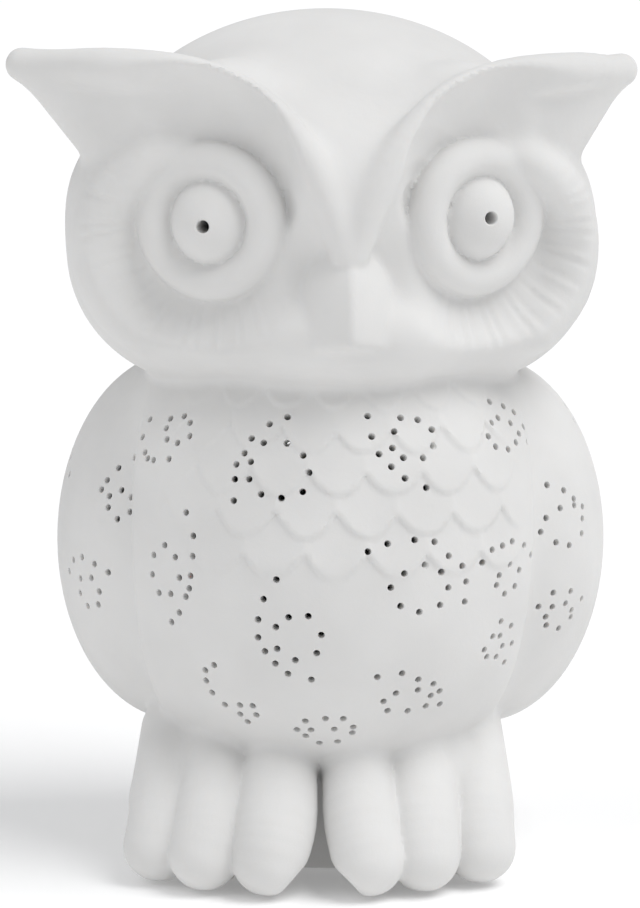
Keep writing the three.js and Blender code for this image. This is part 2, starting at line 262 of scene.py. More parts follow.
# Ellipsoids, as a centre and radii, that the hollow inside follows.
BELLY = (0, 2, 107.5), (78, 70, 82)
LOW_BELLY = (0, -6, 86), (66, 62, 61)
HIPS = (0, 11, 21.5), (50, 46, 60)
SKULL = (0, 4, OWL_HEIGHT - 63.5), (78, 64, 63.5)
CHEEKS = {side: ((side * 39.5, -14, 199), (45, 46, 43)) for side in SIDES}


def eye_frame(side):
    normal = unit(np.array((side * sin(FACE_SPLAY), -cos(FACE_SPLAY), -0.05)))
    centre = np.array((side * 42.7, -50.0, 211.4 + side * 0.9))
    return centre, normal, axes_facing(normal)


def in_head_axes(p):
    x, y = p[..., 0] - HEAD_SHIFT, p[..., 1]
    c, s = cos(HEAD_TURN), sin(HEAD_TURN)
    return np.stack([c * x + s * y, c * y - s * x, p[..., 2]], -1).astype(np.float32)


def turned_with_head(way):
    c, s = cos(HEAD_TURN), sin(HEAD_TURN)
    return np.array((c * way[0] - s * way[1], s * way[0] + c * way[1], way[2]))


def from_head_axes(point):
    return turned_with_head(point) + (HEAD_SHIFT, 0, 0)


def brow_crest(side):
    tip = side * HORN_REACH[side]
    stations = [
        (side * 2, -66, 202, 3.5),
        (side * 7, -67, 218, 4.2),
        (side * 15, -65, 234, 5),
        (side * 29, -60.5, 247.5, 6),
        (side * 48, -53, 255.5, 6),
        (side * 74, -41, 258, 5.5),
        (tip, -28, 258.5, 2.5),
    ]
    return smooth_path(stations, 4)


def under_brow(side):
    """The hollow sweep under the brow and the horn, which leaves the crest as a crisp lip."""
    centre, normal, _ = eye_frame(side)
    inner = centre + normal * 15 + (side * -20, 0, 6)
    stations = [
        (*inner, 13.5),
        (side * 50, -78, 231, 33),
        (side * 66, -80, 237, 35),
        (side * 88, -74, 242, 30),
        (side * 104, -66, 245, 24),
    ]
    return smooth_path(stations, 3)


def disc_rim(side):
    """The rim down the outer side of the facial disc, from under the horn."""
    stations = [
        (side * 50, -45, 232, 3),
        (side * 60, -43, 229, 5.5),
        (side * 70, -37, 218, 6.5),
        (side * 74, -31, 203, 7),
        (side * 72, -33, 188, 6),
        (side * 64, -39, 175, 4),
    ]
    return smooth_path(stations, 3)


def socket_striations(p, side):
    """Fine radial strokes on the eye socket's lower and outer slope, like a disc of feathers."""
    centre, _, axes = eye_frame(side)
    q = (p - vec(*centre)) @ axes.T.astype(np.float32)
    distance = np.hypot(q[..., 0], q[..., 1])
    angle = np.arctan2(q[..., 1], q[..., 0] * side)
    strokes = np.sin(angle * 47 + 1.3 * np.sin(angle * 5))
    strokes = strokes + 0.6 * np.sin(angle * 71 + distance * 0.05)
    where = fade(distance, 24, 30) * (1 - fade(distance, 37, 43))
    turn = fade(angle, -2.6, -1.6) * (1 - fade(angle, 0.1, 0.9))
    return STRIATION_DEPTH * strokes * where * turn * fade(-p[..., 1], 0, 20)


def head_form(p):
    p = in_head_axes(p)
    d = ellipsoid(p, *SKULL)
    d = smooth_min(d, ellipsoid(p, (0, -25, 176.5), (53, 43, 22)), 10)
    for side in SIDES:
        tip = side * HORN_REACH[side]
        d = smooth_min(d, ellipsoid(p, *CHEEKS[side]), 8)
        d = smooth_min(d, ellipsoid(p, (side * 46.6 - 0.8, -14, 215), (36, 38, 30)), 8)
        d = smooth_min(d, round_cone(p, (side * 52, -21, 231), (tip, -27, 257), 25, 3), 4)
        d = smooth_min(d, round_cone(p, (side * 40, -40, 243), (tip, -27, 257), 14, 3), 6)
        d = smooth_min(d, round_cone(p, (0, -46, 221), (side * 34, -38, 239), 19, 20), 10)
        d = smooth_min(d, chain(p, brow_crest(side)), 6)
    for side in SIDES:
        centre, normal, axes = eye_frame(side)
        dish = ellipsoid(p, centre + normal * 17 + (side * 0.5, 0, -4), (40.5, 41, 25), axes)
        d = smooth_max(d, -dish, 3.5)
        d = smooth_max(d, -chain(p, under_brow(side)), 2)
        d = smooth_min(d, chain(p, disc_rim(side), 2), 6)
        d = d - socket_striations(p, side)
        d = smooth_min(d, ring(p, centre - normal * 3, axes, 18.7, 6.0, 6.0), 2)
        d = smooth_min(d, ellipsoid(p, centre - normal * 5.5, (13.0, 13.8, 13.8), axes), 1.8)
    flanks = [ellipsoid(p, (side * 18, -46, 177.5), (36.5, 35, 42)) for side in SIDES]
    beak = smooth_max(flanks[0], flanks[1], 1)
    beak = smooth_max(beak, 170.5 - p[..., 2] - (p[..., 1] + 60) * 0.25, 3)
    d = smooth_min(d, beak, 1.5)
    return smooth_max(d, -chain(p, [(0.5, -74.5, 200, 3), (0.5, -72, 226, 1.4)]), 1.5)


def breast_feathers(p):
    """Rows of shallow overlapping feathers, each thickest at its rounded lower edge."""
    x, y, z = p[..., 0], p[..., 1], p[..., 2]
    bearing = np.arctan2(x, 12 - y)
    across = bearing * BODY_RADIUS / FEATHER_WIDTH
    rise = (z - LOWEST_FEATHERS) / FEATHER_HEIGHT
    relief = np.zeros_like(x)
    for shift in (0, 1):
        row = np.floor(rise) + shift
        part = np.mod(across + 0.5 * np.mod(row, 2), 1) - 0.5
        above = rise - row + 0.5 - 2.4 * part * part + 0.05 * np.sin(across * 5 + row * 2)
        feather = np.exp(-np.maximum(above, 0) * 1.9) * fade(above, -0.12, 0.1)
        relief = np.maximum(relief, feather)
    height = fade(z, 97, 108) * (1 - fade(z, 152, 166))
    reach = fade(bearing, -0.8, -0.2) * (1 - fade(bearing, 0.7, 0.95))
    front = fade(-y, 20, 40)
    inner = 1 - fade(np.abs(bearing), 0.72, 0.9)
    return FEATHER_RELIEF * relief * height * (0.15 + 0.85 * reach) * front * inner


def wing_folds(p):
    """The fold down each side where the breast ends and the closed wing begins behind it."""
    z = p[..., 2]
    bearing = np.abs(np.arctan2(p[..., 0], 12 - p[..., 1]))
    behind = (bearing - 0.93 - 0.00004 * (z - 95) ** 2) * BODY_RADIUS
    depth = np.where(behind < 0, np.exp(-((behind / 2.2) ** 2)), np.exp(-((behind / 11) ** 2)))
    return FOLD_DEPTH * depth * fade(z, 42, 62) * (1 - fade(z, 128, 158))


def body_form(p):
    d = ellipsoid(p, *BELLY)
    d = smooth_min(d, ellipsoid(p, *LOW_BELLY), 10)
    for side in SIDES:
        d = smooth_min(d, ellipsoid(p, (side * 50 + 1.2, 14, 101.3), (40, 54, 60.7)), 3)
    d = d - breast_feathers(p) + wing_folds(p)
    d = smooth_min(d, ellipsoid(p, (0, 56, 33.5), (34, 20, 44)), 12)
    d = smooth_min(d, ellipsoid(p, *HIPS), 10)
    return smooth_min(d, round_cone(p, (0, 3, 147), (0, 3, 177), 53, 52), 6)


# Each toe, inner to outer: how far its root, knuckle and tip are from the middle of the feet, its
# tip's y and its knuckle's radius.
TOES = {
    -1: [(12, 14, 16.8, -64, 13), (31.5, 33.5, 36.5, -58, 12), (46.5, 48.5, 51, -47, 11.8)],
    1: [(11.5, 12.4, 14.8, -64, 11.9), (31, 31.7, 32.5, -58, 11.9), (49, 50, 51, -47, 11.9)],
}


def foot_form(p, side):
    d = ellipsoid(p, (FEET_CENTRE + side * 33, -27, 21), (28, 21, 28))
    for root, knuckle, tip, tip_y, radius in TOES[side]:
        stations = [
            (FEET_CENTRE + side * root, tip_y + 30, 43, 10.8),
            (FEET_CENTRE + side * knuckle, tip_y + 10, 26, radius),
            (FEET_CENTRE + side * (knuckle + tip) / 2, tip_y + 2.5, 17.5, radius - 0.4),
            (FEET_CENTRE + side * tip, tip_y, 12.2, 11.3),
        ]
        d = smooth_min(d, chain(p, smooth_path(stations, 3)), 1.8)
    return d


def outer_form(p):
    """Distance in millimetres to the owl's outside, its underside included."""
    low, high = p[..., 2].min(), p[..., 2].max()
    d = np.full(p.shape[:-1], 1e3, np.float32)
    if low < 215:
        d = body_form(p)
    if high > 130:
        d = smooth_min(d, head_form(p), 4)
    if low < 75:
        d = smooth_min(d, np.minimum(foot_form(p, -1), foot_form(p, 1)), 4)
    if low < 50:
        z = p[..., 2]
        recess = smooth_max(upright_cylinder(p, LAMP_Y, *RECESS_RADII), z - WEB_BOTTOM, 0.8)
        mouth = upright_cylinder(p, LAMP_Y, MOUTH_RADIUS, MOUTH_RADIUS)
        mouth = smooth_max(mouth, z - COLLAR_TOP - 6, 0.5)
        arch = round_cone(p, (FEET_CENTRE, -90, -2), (FEET_CENTRE, -47, -2), 12, 12)
        slot = np.maximum(np.abs(p[..., 0]) - CORD_SLOT_HALF_WIDTH, z - CORD_SLOT_TOP)
        slot = np.maximum(slot, CORD_SLOT_START - p[..., 1])
        for opening, reach in ((recess, 0.8), (mouth, 0.8), (arch, 3), (slot, 1)):
            d = smooth_max(d, -opening, reach)
        d = smooth_max(d, UNDERSIDE - z, 0.8)
    return d


def inside_wall(p, centre, radii):
    """Distance to an ellipsoid that is smaller all round by the wall."""
    return ellipsoid(p, centre, [radius - WALL for radius in radii])


def hollow_form(p):
    """Distance to the hollow inside: the form smoothed and moved in, above the floor and collar."""
    z = p[..., 2]
    d = inside_wall(p, *BELLY)
    d = smooth_min(d, inside_wall(p, *LOW_BELLY), 10)
    for side in SIDES:
        d = smooth_min(d, inside_wall(p, (side * 49, 14, 103.5), (40, 54, 62.5)), 3)
        d = smooth_min(d, inside_wall(p, (FEET_CENTRE + side * 32, -24, 20), (26, 18, 26)), 4)
    d = smooth_min(d, inside_wall(p, *HIPS), 10)
    d = smooth_min(d, round_cone(p, (0, 2, 147), (0, 2, 190), 52, 49), 8)
    q = in_head_axes(p)
    skull = inside_wall(q, *SKULL)
    for side in SIDES:
        skull = smooth_min(skull, inside_wall(q, *CHEEKS[side]), 6)
    for side in SIDES:
        centre, normal, _ = eye_frame(side)
        behind = (q - vec(*(centre - normal * (WALL + 10)))) @ vec(*normal)
        skull = smooth_max(skull, behind, 4)
    d = smooth_min(d, skull, 6)
    d = smooth_max(d, WEB_TOP - z, 2)
    collar = upright_cylinder(p, LAMP_Y, MOUTH_RADIUS + WALL, MOUTH_RADIUS + WALL)
    return np.maximum(d, -np.maximum(collar, z - COLLAR_TOP))


# ---------------------------------------------------------------- from distances to meshes
BLOCK = 8  # grid points along a block's side
FAR = 50  # stands for any distance that is far from the surface


def sample_form(form, low, high, step):
    """The form's distances on a grid. Blocks far from its surface keep only their sign."""
    blocks = [int(np.ceil((b - a) / (step * BLOCK))) for a, b in zip(low, high)]
    starts = np.stack(np.meshgrid(*[np.arange(n) * BLOCK for n in blocks], indexing="ij"), -1)
    low = vec(*low)
    middles = (starts + (BLOCK - 1) / 2).astype(np.float32) * step + low
    rough = np.stack([form(middles[:, :, k]) for k in range(blocks[2])], 2)
    half_diagonal, margin = step * BLOCK * 0.87, 1.35
    near = np.abs(rough) < half_diagonal * margin
    values = (np.sign(rough) * FAR).astype(np.float32)
    for axis in range(3):
        values = np.repeat(values, BLOCK, axis)
    inside = np.stack(np.meshgrid(*[np.arange(BLOCK)] * 3, indexing="ij"), -1)
    chosen = np.argwhere(near)
    chosen = chosen[np.argsort(chosen[:, 2], kind="stable")]

    def fill(group):
        cells = group[:, None, None, None, :] * BLOCK + inside
        found = form(cells.astype(np.float32) * step + low)
        for (i, j, k), block in zip(group * BLOCK, found):
            values[i : i + BLOCK, j : j + BLOCK, k : k + BLOCK] = block

    batch = 64
    groups = [chosen[i : i + batch] for i in range(0, len(chosen), batch)]
    with ThreadPoolExecutor(4) as pool:
        list(pool.map(fill, groups))
    return values, low


def surface_net(values, low, step):
    """Vertices and quads of the surface where values cross zero, one vertex to a crossed cell."""
    inside = values < 0
    corners = [(i, j, k) for i in (0, 1) for j in (0, 1) for k in (0, 1)]
    nx, ny, nz = (n - 1 for n in values.shape)
    count = np.zeros((nx, ny, nz), np.uint8)
    for i, j, k in corners:
        count += inside[i : i + nx, j : j + ny, k : k + nz]
    cells = np.argwhere((count > 0) & (count < 8))
    number = np.full((nx, ny, nz), -1, np.int64)
    number[tuple(cells.T)] = np.arange(len(cells))
    at = {c: values[tuple((cells + c).T)] for c in corners}
    total = np.zeros((len(cells), 3))
    crossings = np.zeros(len(cells))
    for a in corners:
        for axis in range(3):
            if a[axis]:
                continue
            b = tuple(1 if n == axis else a[n] for n in range(3))
            crossed = (at[a] < 0) != (at[b] < 0)
            t = np.where(crossed, at[a] / np.where(crossed, at[a] - at[b], 1), 0)
            point = np.array(a, float) + t[:, None] * (np.array(b) - np.array(a))
            total += point * crossed[:, None]
            crossings += crossed
    vertices = (cells + total / crossings[:, None]) * step + low
    quads = []
    for axis in range(3):
        u, v = (axis + 1) % 3, (axis + 2) % 3
        first = [slice(1, n) for n in (nx, ny, nz)]
        first[axis] = slice(0, (nx, ny, nz)[axis])
        second = list(first)
        second[axis] = slice(first[axis].start + 1, first[axis].stop + 1)
        a, b = inside[tuple(first)], inside[tuple(second)]
        for sign in (True, False):
            edges = np.argwhere((a == sign) & (b != sign))
            edges += [s.start for s in first]
            step_u, step_v = np.eye(3, dtype=int)[u], np.eye(3, dtype=int)[v]
            round_edge = [edges - step_u - step_v, edges - step_v, edges, edges - step_u]
            if not sign:
                round_edge.reverse()
            quads.append(np.stack([number[tuple(c.T)] for c in round_edge], -1))
    return vertices, np.concatenate(quads)


def gradient(form, p, reach=0.25):
    """The form's slope at each point, from four points round it."""
    total = np.zeros(p.shape)
    for corner in ((1, -1, -1), (-1, -1, 1), (-1, 1, -1), (1, 1, 1)):
        offset = vec(*corner)
        total += offset * form((p + offset * reach).astype(np.float32))[:, None]
    return total / (4 * reach)


def settle(form, vertices, rounds=2):
    """Moves vertices on to the form's exact surface."""
    order = np.argsort(vertices[:, 2], kind="stable")
    parts = np.array_split(vertices[order], max(1, len(vertices) // 20000))
    longest = 0.8

    def move(part):
        for _ in range(rounds):
            slope = gradient(form, part)
            steep = np.maximum((slope**2).sum(1), 0.25)
            distance = np.clip(form(part.astype(np.float32)), -longest, longest)
            part = part - slope * (distance / steep)[:, None]
        return part

    with ThreadPoolExecutor(4) as pool:
        moved = np.concatenate(list(pool.map(move, parts)))
    result = np.empty_like(moved)
    result[order] = moved
    return result


def mesh_from(name, vertices, faces):
    """A mesh in metres from vertices in the owl's millimetres and an array of faces."""
    mesh = bpy.data.meshes.new(name)
    points = vertices * MM + np.array(OWL_ORIGIN)
    mesh.vertices.add(len(points))
    mesh.vertices.foreach_set("co", points.astype(np.float32).ravel())
    sides = faces.shape[1]
    mesh.loops.add(faces.size)
    mesh.loops.foreach_set("vertex_index", faces.astype(np.int32).ravel())
    mesh.polygons.add(len(faces))
    mesh.polygons.foreach_set("loop_start", np.arange(0, faces.size, sides, dtype=np.int32))
    mesh.update(calc_edges=True)
    mesh.validate()
    return mesh


def form_mesh(name, form, low, high, step, exact=True):
    values, corner = sample_form(form, low, high, step)
    vertices, quads = surface_net(values, corner, step)
    if exact:
        vertices = settle(form, vertices)
    return mesh_from(name, vertices, quads)


def smooth_by_angle(mesh, degrees):
    mesh.shade_smooth()
    mesh.set_sharp_from_angle(angle=radians(degrees))


def link(name, mesh, degrees=None):
    """Puts a mesh in the scene, smooth-shaded with edges over that angle kept sharp."""
    if degrees:
        smooth_by_angle(mesh, degrees)
    return add(name, mesh)


def cut(piece, cutters):
    """Takes each cutter out of the piece and removes the cutters."""
    for cutter in cutters:
        modifier = piece.modifiers.new("cut", "BOOLEAN")
        modifier.operation = "DIFFERENCE"
        modifier.solver = "MANIFOLD"
        modifier.object = cutter
    depsgraph = bpy.context.evaluated_depsgraph_get()
    mesh = bpy.data.meshes.new_from_object(piece.evaluated_get(depsgraph))
    piece.modifiers.clear()
    piece.data = mesh
    for cutter in cutters:
        bpy.data.objects.remove(cutter)


# ---------------------------------------------------------------- the pierced holes
# Each group is a ring of holes with a tail of holes curling round it. A row gives the ring's
# bearing round the body (0 is the front) and height, its half width and half height, how many holes
# it has and the angle of the first, then how far outside the ring the tail starts, passes and ends,
# the angle where it starts, its sweep and its holes. Angles run anticlockwise seen from outside.
HOLE_GROUPS = [
    (-63, 119, 5.3, 4.7, 6, 30, (15, 7, 3.5), 53, 100, 5),
    (-46, 145, 5.2, 4.4, 7, 30, (9, 10, 5), 172, 90, 5),
    (-15, 135, 9.7, 8.9, 9, 80, (8.5, 3.5, 7), 84, 132, 7),
    (-44, 101, 5.6, 7.5, 7, 90, (13, 5, 9), 66, -148, 8),
    (-71, 89, 5.5, 5, 6, 10, (7, 6, 7), 40, 120, 5),
    (-9, 84, 7.6, 7.3, 7, 60, (12, 4, 7), 109, 175, 8),
    (21, 145, 7.3, 7, 8, 110, (9, 4.5, 9), 148, 130, 6),
    (21, 98.5, 9.5, 7.4, 8, 130, (13, 7, 7), 144, -161, 8),
    (51, 144, 7, 5, 8, 40, (6, 5, 6), 95, -120, 5),
    (67, 113, 9, 6.5, 8, 100, (12, 4, 3), 131, -96, 5),
    (46, 99, 5.2, 4.3, 6, 20, (8, 7, 8), 150, -120, 6),
    (44, 77, 4.2, 4.2, 6, 0, (5, 5, 6), 80, -120, 4),
    (67, 83, 6.5, 4, 7, 20, (4, 5, 5), 150, -120, 4),
    (-24, 57, 3.4, 3.2, 5, 50, (16, 13, 4), 118, 44, 5),
    (-1.5, 52, 8.5, 5.3, 9, 15, (-4, -3, -4), 60, 110, 2),
    (20, 62, 8, 4.4, 7, 170, (8.5, 3.5, 4.5), 135, -151, 6),
]


HOLE_STRAY = 0.45  # how far a hole strays from its group's curve


def back_groups():
    """The same kind of groups round the back, in staggered rows that leave the tail's root free."""
    groups = []
    for row, height in enumerate((143, 118, 91, 66)):
        for place in range(5):
            bearing = 100 + place * 36 + (row % 2) * 18
            if bearing > 262 or (row == 3 and 150 < bearing < 210):
                continue
            turn = (row * 97 + place * 61) % 360
            whorl = (bearing, height + (place % 2) * 5, 7.5, 6.5 + (row % 2), 8, turn)
            tail = ((8 + place, 4, 6 + row), turn + 40, 140, 6)
            groups.append((*whorl, *tail))
    return groups


def hit_surface(start, direction):
    """Where a ray from outside meets the body, and the surface's normal there."""
    travelled = 0.0
    for _ in range(60):
        p = (start + direction * travelled).astype(np.float32)[None]
        distance = float(body_form(p)[0])
        if abs(distance) < 0.02:
            break
        travelled += distance * 0.8
    p = (start + direction * travelled).astype(np.float32)[None]
    return p[0].astype(float), unit(gradient(body_form, p, 1.0)[0])


def hole_places():
    places = []
    rng = np.random.default_rng(7)
    for group in HOLE_GROUPS + back_groups():
        bearing, height, wide, tall, count, first, gaps, tail_first, sweep, tail_count = group
        start, past, end = gaps
        outward = np.array((sin(radians(bearing)), -cos(radians(bearing)), 0))
        middle, normal = hit_surface(np.array((0, 5, height)) + outward * 120, -outward)
        across = unit(np.cross((0, 0, 1), normal))
        up = np.cross(normal, across)
        spots = []
        for i in range(count):
            angle = radians(first + 360 * i / count)
            spots.append((wide * cos(angle), tall * sin(angle)))
        for i in range(tail_count):
            t = i / (tail_count - 1)
            angle = radians(tail_first + sweep * t)
            gap = start * (1 - t) * (1 - 2 * t) + past * 4 * t * (1 - t) + end * t * (2 * t - 1)
            spots.append(((wide + gap) * cos(angle), (tall + gap) * sin(angle)))
        for u, v in spots:
            u, v = np.array((u, v)) + rng.normal(0, HOLE_STRAY, 2)
            places.append(hit_surface(middle + across * u + up * v + normal * 25, -normal))
    return places


def drills(name, places, radius, depth, sides=16):
    """One mesh of countersunk drills, each from outside the surface to depth behind it."""
    outline = [
        (0, -depth), (radius * 0.94, -depth), (radius, -0.35), (radius * 1.08, -0.08),
        (radius * 1.25, 0.12), (radius * 1.5, 3), (0, 3),
    ]
    vertices, faces = [], []
    for place, normal in places:
        helper = np.array((0, 0, 1)) if abs(normal[2]) < 0.9 else np.array((1, 0, 0))
        u = unit(np.cross(helper, normal))
        v = np.cross(normal, u)
        base = len(vertices)
        vertices.append(place + normal * outline[0][1])
        for r, along in outline[1:-1]:
            for k in range(sides):
                angle = tau * k / sides
                vertices.append(place + normal * along + (u * cos(angle) + v * sin(angle)) * r)
        vertices.append(place + normal * outline[-1][1])
        rows = len(outline) - 2
        last = base + 1 + rows * sides
        for k in range(sides):
            n = (k + 1) % sides
            faces.append((base, base + 1 + n, base + 1 + k))
            faces.append((last, last - sides + k, last - sides + n))
            for row in range(rows - 1):
                a = base + 1 + row * sides
                faces.append((a + k, a + n, a + sides + n))
                faces.append((a + k, a + sides + n, a + sides + k))
    return mesh_from(name, np.array(vertices), np.array(faces))


def pupil_places():
    """Each pupil is pierced off its eye's middle, towards the owl's right, and looks ahead."""
    places = []
    for side, across, up in ((-1, 2.0, -0.2), (1, -2.1, 1.1)):
        centre, normal, axes = eye_frame(side)
        ahead = unit(np.array((side * sin(FACE_SPLAY) * 0.6, -1, 0.02)))
        spot = centre + normal * 7.8 + axes[0] * across + axes[1] * up
        places.append((from_head_axes(spot), turned_with_head(ahead)))
    return places


def make_owl():
    outer = form_mesh("owl_porcelain", outer_form, (-112, -86, -4), (104, 84, 282), VOXEL)
    piece = link("owl_porcelain", outer)
    inner = form_mesh("hollow", hollow_form, (-92, -66, 8), (92, 80, 276), HOLLOW_VOXEL, False)
    hollow = link("hollow", inner)
    holes = link("holes", drills("holes", hole_places(), HOLE_RADIUS, 9))
    pupils = link("pupils", drills("pupils", pupil_places(), PUPIL_RADIUS, 34, 28))
    cut(piece, [hollow, holes, pupils])
    smooth_by_angle(piece.data, 38)
    piece.data.materials.clear()
    piece.data.materials.append(MATERIALS["bisque"])
    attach(piece, "owl")
    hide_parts("porcelain_shell")


# ---------------------------------------------------------------- materials
def plain_material(name, colour, roughness, metallic=0.0):
    material = bpy.data.materials.new(name)
    material.use_nodes = True
    shader = material.node_tree.nodes["Principled BSDF"]
    set_inputs(shader, Base_Color=(*colour, 1), Roughness=roughness, Metallic=metallic)
    return material


class Surface:
    """A material's node tree with the few helpers that the materials below share."""

    def __init__(self, name, colour, roughness, metallic=0.0):
        self.material = plain_material(name, colour, roughness, metallic)
        self.tree = self.material.node_tree
        self.shader = self.tree.nodes["Principled BSDF"]
        self.place = self.tree.nodes.new("ShaderNodeTexCoord").outputs["Object"]

    def node(self, kind, **inputs):
        node = self.tree.nodes.new(kind)
        for key, value in inputs.items():
            socket = node.inputs[key.replace("_", " ")]
            if isinstance(value, bpy.types.NodeSocket):
                self.tree.links.new(value, socket)
            else:
                socket.default_value = value
        return node

    def noise(self, scale, detail=2.0, roughness=0.5, stretch=(1, 1, 1)):
        place = self.node("ShaderNodeMapping", Vector=self.place, Scale=stretch).outputs[0]
        settings = {"Scale": scale, "Detail": detail, "Roughness": roughness}
        return self.node("ShaderNodeTexNoise", Vector=place, **settings).outputs["Fac"]

    def tint(self, value, low_colour, high_colour):
        ramp = self.node("ShaderNodeValToRGB", Fac=value)
        ramp.color_ramp.elements[0].position = 0.35
        ramp.color_ramp.elements[0].color = (*low_colour, 1)
        ramp.color_ramp.elements[1].position = 0.65
        ramp.color_ramp.elements[1].color = (*high_colour, 1)
        self.tree.links.new(ramp.outputs["Color"], self.shader.inputs["Base Color"])

    def bump(self, heights):
        """heights are (value, strength, distance in metres), added up."""
        normal = None
        for value, strength, distance in heights:
            node = self.node("ShaderNodeBump", Height=value, Strength=strength, Distance=distance)
            if normal is not None:
                self.tree.links.new(normal, node.inputs["Normal"])
            normal = node.outputs["Normal"]
        self.tree.links.new(normal, self.shader.inputs["Normal"])

    def rough(self, value, low, high):
        node = self.node("ShaderNodeMapRange", Value=value)
        set_inputs(node, From_Min=0.3, From_Max=0.7, To_Min=low, To_Max=high)
        self.tree.links.new(node.outputs["Result"], self.shader.inputs["Roughness"])


def bisque_material():
    s = Surface("bisque_porcelain", (0.715, 0.71, 0.70), 0.8)
    s.tint(s.noise(28, 3), (0.695, 0.69, 0.68), (0.735, 0.73, 0.72))
    s.rough(s.noise(420, 2), 0.72, 0.86)
    grain = (s.noise(2600, 2), 0.25, 0.00012)
    s.bump([grain, (s.noise(700, 3), 0.2, 0.0002), (s.noise(120, 2), 0.18, 0.0006)])
    set_inputs(s.shader, Subsurface_Weight=0.12, Subsurface_Radius=(1.0, 0.85, 0.7))
    set_inputs(s.shader, Subsurface_Scale=0.0025, Specular_IOR_Level=0.35)
    return s.material


def felt_material():
    s = Surface("felt_wool", (0.8, 0.78, 0.74), 0.95)
    s.tint(s.noise(900, 3), (0.72, 0.70, 0.66), (0.86, 0.84, 0.80))
    s.bump([(s.noise(2200, 4, 0.7, (1, 1, 0.4)), 0.7, 0.0004)])
    set_inputs(s.shader, Sheen_Weight=0.4)
    return s.material


def metal_material(name, dark, light, low, high, brushed=(1, 1, 1), grain=500):
    s = Surface(name, light, (low + high) / 2, 1.0)
    s.tint(s.noise(90, 3), dark, light)
    s.rough(s.noise(grain, 3, 0.6, brushed), low, high)
    s.bump([(s.noise(grain * 2, 2, 0.5, brushed), 0.06, 0.0001)])
    return s.material


def moulded_material(name, colour, shade, low, high):
    s = Surface(name, colour, (low + high) / 2)
    s.tint(s.noise(60, 2), shade, colour)
    s.rough(s.noise(600, 2), low, high)
    s.bump([(s.noise(1800, 2), 0.08, 0.0001)])
    return s.material


def frosted_glass_material():
    s = Surface("frosted_bulb_glass", (0.95, 0.945, 0.93), 0.42)
    s.rough(s.noise(900, 2), 0.36, 0.5)
    s.bump([(s.noise(2400, 2), 0.05, 0.0001)])
    set_inputs(s.shader, Transmission_Weight=0.45, IOR=1.5)
    return s.material


def clear_glass_material():
    s = Surface("stem_glass", (0.93, 0.96, 0.95), 0.05)
    s.rough(s.noise(300, 2), 0.03, 0.1)
    set_inputs(s.shader, Transmission_Weight=0.95, IOR=1.52)
    return s.material


# Name, darker and lighter colour, lowest and highest roughness, and which way it is brushed.
METALS = {
    "zinc_steel": (
        "zinc_plated_steel", (0.56, 0.57, 0.59), (0.7, 0.71, 0.72), 0.28, 0.46, (1, 14, 1)
    ),
    "spring_steel": (
        "blued_spring_steel", (0.30, 0.31, 0.34), (0.44, 0.45, 0.47), 0.24, 0.4, (1, 1, 10)
    ),
    "brass": ("pressed_brass", (0.66, 0.48, 0.22), (0.80, 0.62, 0.32), 0.22, 0.4),
    "nickel": ("nickel_plate", (0.62, 0.61, 0.58), (0.76, 0.75, 0.71), 0.16, 0.32),
    "tungsten": ("drawn_tungsten", (0.20, 0.20, 0.22), (0.32, 0.32, 0.34), 0.4, 0.55),
}
# Name, colour, shade, and lowest and highest roughness.
MOULDINGS = {
    "phenolic": (
        "moulded_white_thermoset", (0.87, 0.86, 0.82), (0.83, 0.82, 0.78), 0.3, 0.42
    ),
    "steatite": ("pressed_steatite", (0.84, 0.80, 0.72), (0.78, 0.74, 0.66), 0.6, 0.75),
    "vitrite": ("black_vitrite", (0.02, 0.02, 0.025), (0.012, 0.012, 0.016), 0.08, 0.18),
}


def make_materials():
    made = {
        "bisque": bisque_material(),
        "felt": felt_material(),
        "frosted_glass": frosted_glass_material(),
        "clear_glass": clear_glass_material(),
    }
    made |= {slot: metal_material(*settings) for slot, settings in METALS.items()}
    made |= {slot: moulded_material(*settings) for slot, settings in MOULDINGS.items()}
    return made


MATERIALS = make_materials()


# ---------------------------------------------------------------- turned and threaded pieces
def lamp_point(radius, height, angle):
    """A point in metres from its millimetres and angle about the lamp's axis."""
    x, y = radius * cos(angle) * MM, radius * sin(angle) * MM
    return LAMP_AXIS.x + x, LAMP_AXIS.y + y, height * MM


def grid_mesh(name, rows, closed_ends):
    """A mesh from rings of points (rows x sides x 3, metres). closed_ends closes the first and last
    rings to their middles; without it the last ring joins the first.
    """
    rows = np.asarray(rows)
    count, sides = rows.shape[:2]
    vertices = rows.reshape(-1, 3).tolist()
    faces = []
    for row in range(count - 1 if closed_ends else count):
        for k in range(sides):
            n = (k + 1) % sides
            a, b = row * sides, ((row + 1) % count) * sides
            faces.append((a + k, a + n, b + n, b + k))
    if closed_ends:
        for ring_start, order in ((0, -1), ((count - 1) * sides, 1)):
            vertices.append(np.mean(vertices[ring_start : ring_start + sides], 0).tolist())
            hub = len(vertices) - 1
            for k in range(sides):
                pair = (ring_start + k, ring_start + (k + 1) % sides)
                faces.append((*(pair if order > 0 else pair[::-1]), hub))
    mesh = bpy.data.meshes.new(name)
    mesh.from_pydata(vertices, [], faces)
    mesh.update()
    return mesh


def turned(name, outline, sides=72, shape=None, degrees=35):
    """A piece turned about the lamp's axis from (radius, height) pairs in mm, up the outside first.

    The outline closes on itself unless it starts and ends on the axis. shape(radius, height, angle)
    may change a radius, for threads, ribs and flats.
    """
    on_axis = outline[0][0] == 0 and outline[-1][0] == 0
    outline = outline[1:-1] if on_axis else outline
    rows = []
    for radius, height in outline:
        points = []
        for k in range(sides):
            angle = tau * k / sides
            r = shape(radius, height, angle) if shape else radius
            points.append(lamp_point(r, height, angle))
        rows.append(points)
    return link(name, grid_mesh(name, rows, on_axis), degrees)


